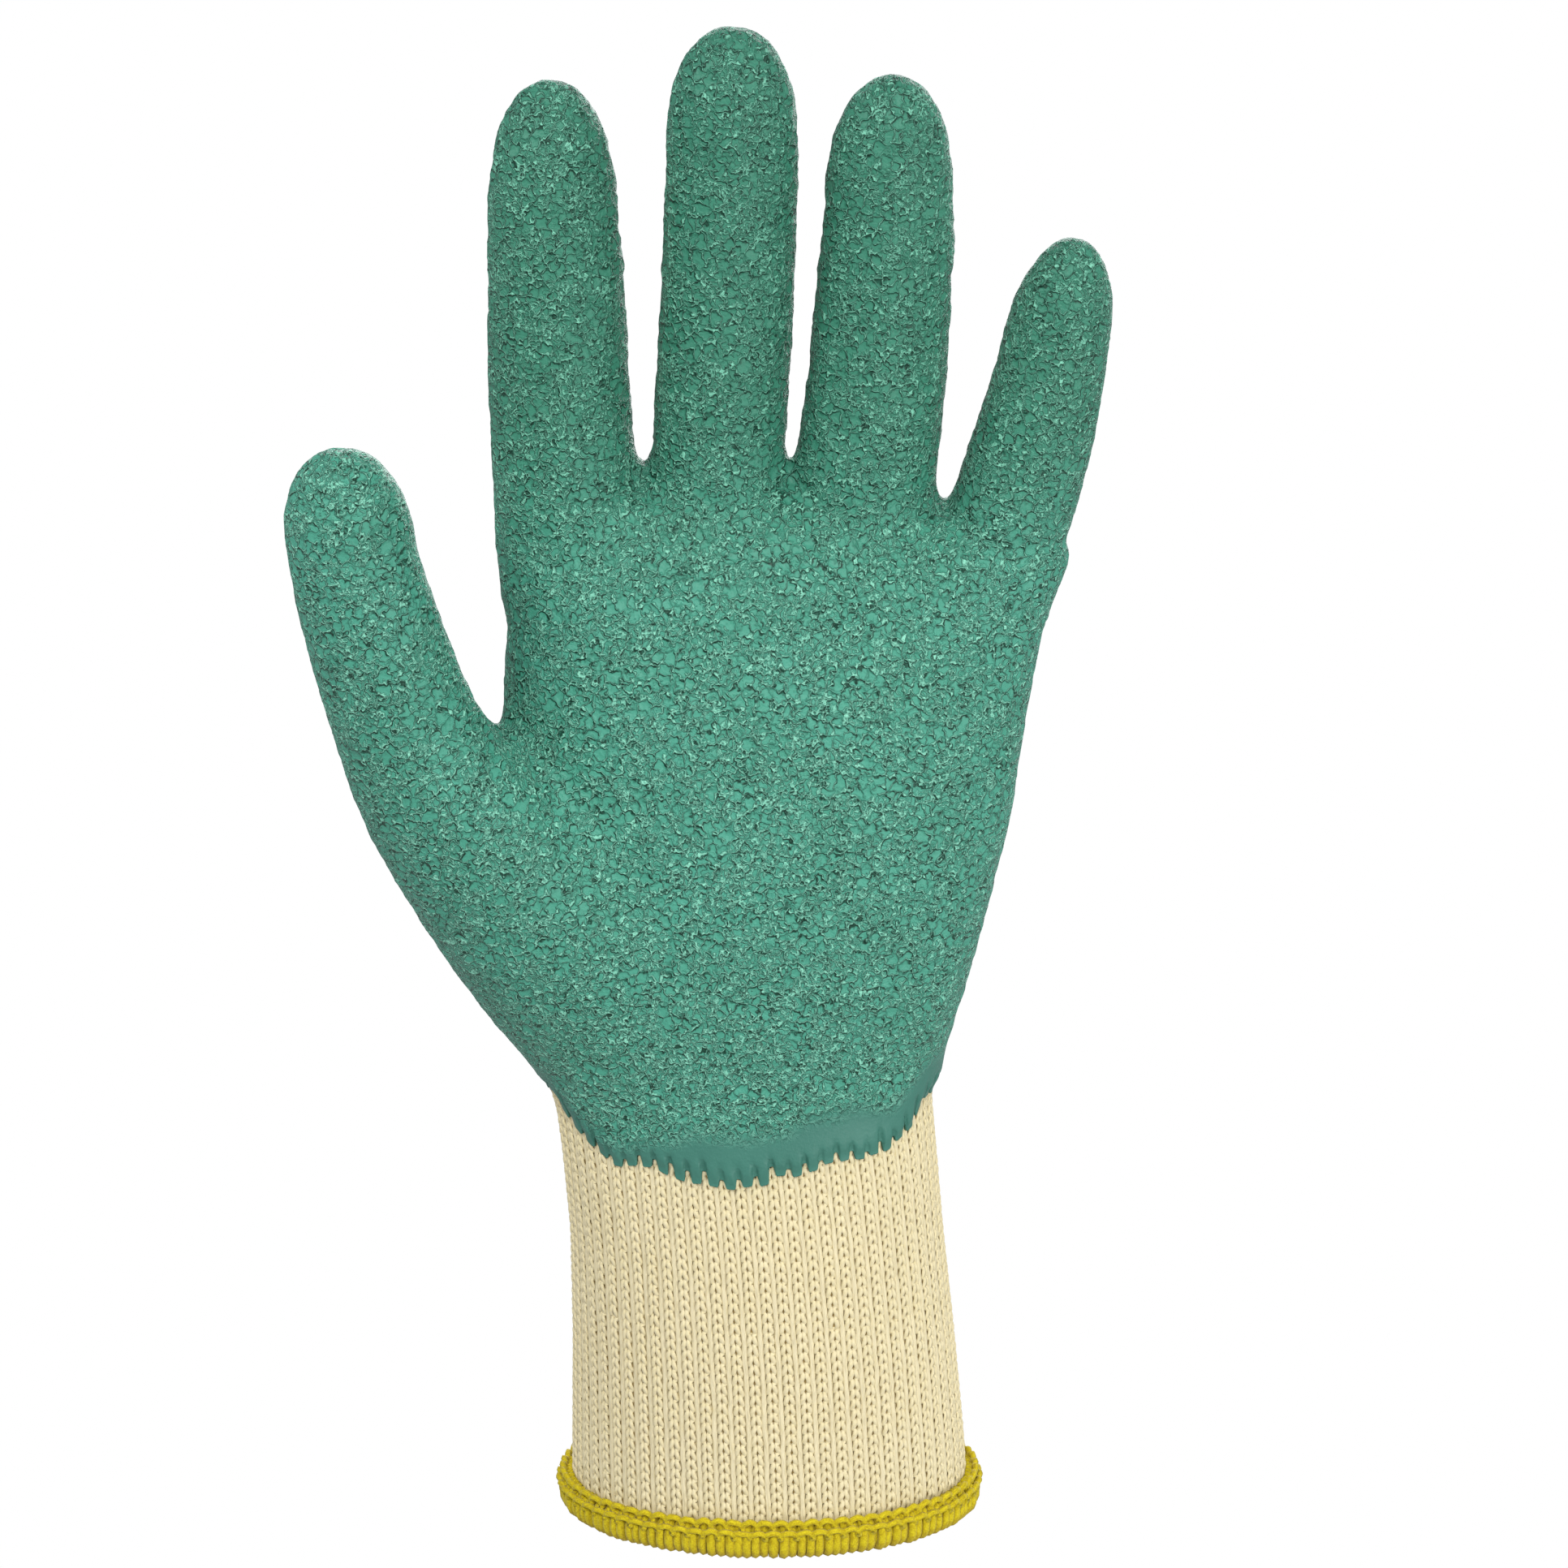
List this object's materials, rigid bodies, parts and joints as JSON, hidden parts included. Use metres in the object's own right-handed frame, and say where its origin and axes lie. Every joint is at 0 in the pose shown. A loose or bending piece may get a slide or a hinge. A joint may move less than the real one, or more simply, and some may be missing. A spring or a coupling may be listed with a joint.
{
  "type": "latex coated grip glove",
  "caption": "Left-hand work glove: a seamless cream knit liner with a long wrist cuff, a crinkled green latex coat over palm, fingers and thumb, and a yellow overlocked hem.",
  "frame": {"origin": "middle of the cuff's mouth, level with the lowest edge of the hem, where the hand goes in and the glove is held up", "axes": "+Z from the cuff's mouth towards the fingertips, -Y out of the palm, +Y out of the back of the hand, -X towards the thumb"},
  "size_m": [0.1301, 0.0564, 0.2499],
  "materials": {
    "cotton_knit": "seamless jersey knit of cream cotton and polyester yarn, matt",
    "natural_rubber": "crinkled natural rubber latex film, green, satin",
    "overlock_thread": "yellow overlock thread wrapped round the edge"
  },
  "bodies": {
    "root": {"knit_liner": "cotton_knit", "latex_coat": "natural_rubber", "cuff_hem": "overlock_thread"}
  },
  "joints": []
}
